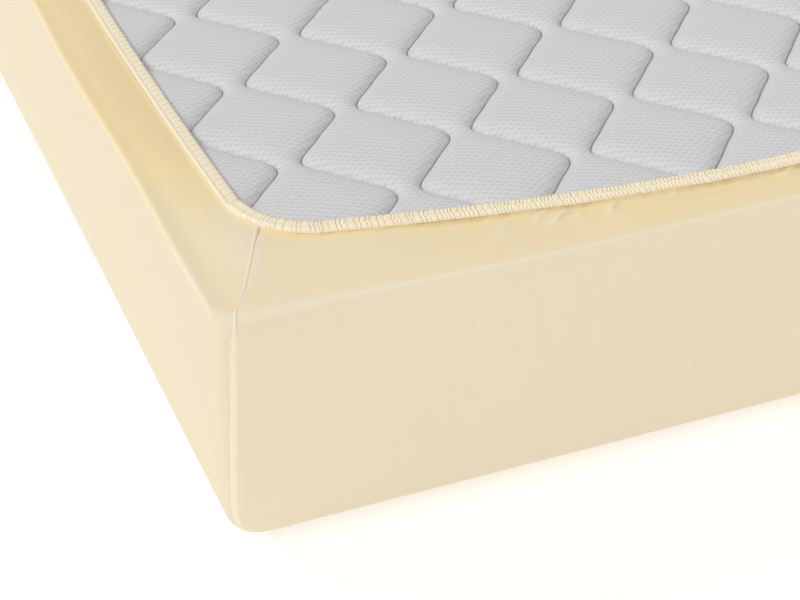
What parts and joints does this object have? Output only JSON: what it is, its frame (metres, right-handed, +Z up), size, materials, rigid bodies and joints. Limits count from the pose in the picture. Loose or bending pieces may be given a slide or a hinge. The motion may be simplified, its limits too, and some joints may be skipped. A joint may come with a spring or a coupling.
{
  "type": "fitted sheet on mattress",
  "caption": "Cream jersey fitted sheet with an elastic edging, pulled over a wave-quilted single mattress that lies underside up.",
  "frame": {"origin": "middle of the footprint, on the surface that the sheet's panel lies on", "axes": "+Z up, out of the sheet's opening; +Y along the mattress's length; +X across it"},
  "size_m": [0.9, 2, 0.2289],
  "materials": {
    "sheet_jersey": "smooth matte cream jersey knit",
    "elastic_edging": "gathered and overlocked cream edging",
    "mattress_cover": "pale grey dimpled knit, quilted in waves"
  },
  "bodies": {
    "root": {"fitted_sheet": "sheet_jersey", "elastic_edging": "elastic_edging", "mattress": "mattress_cover"}
  },
  "joints": []
}
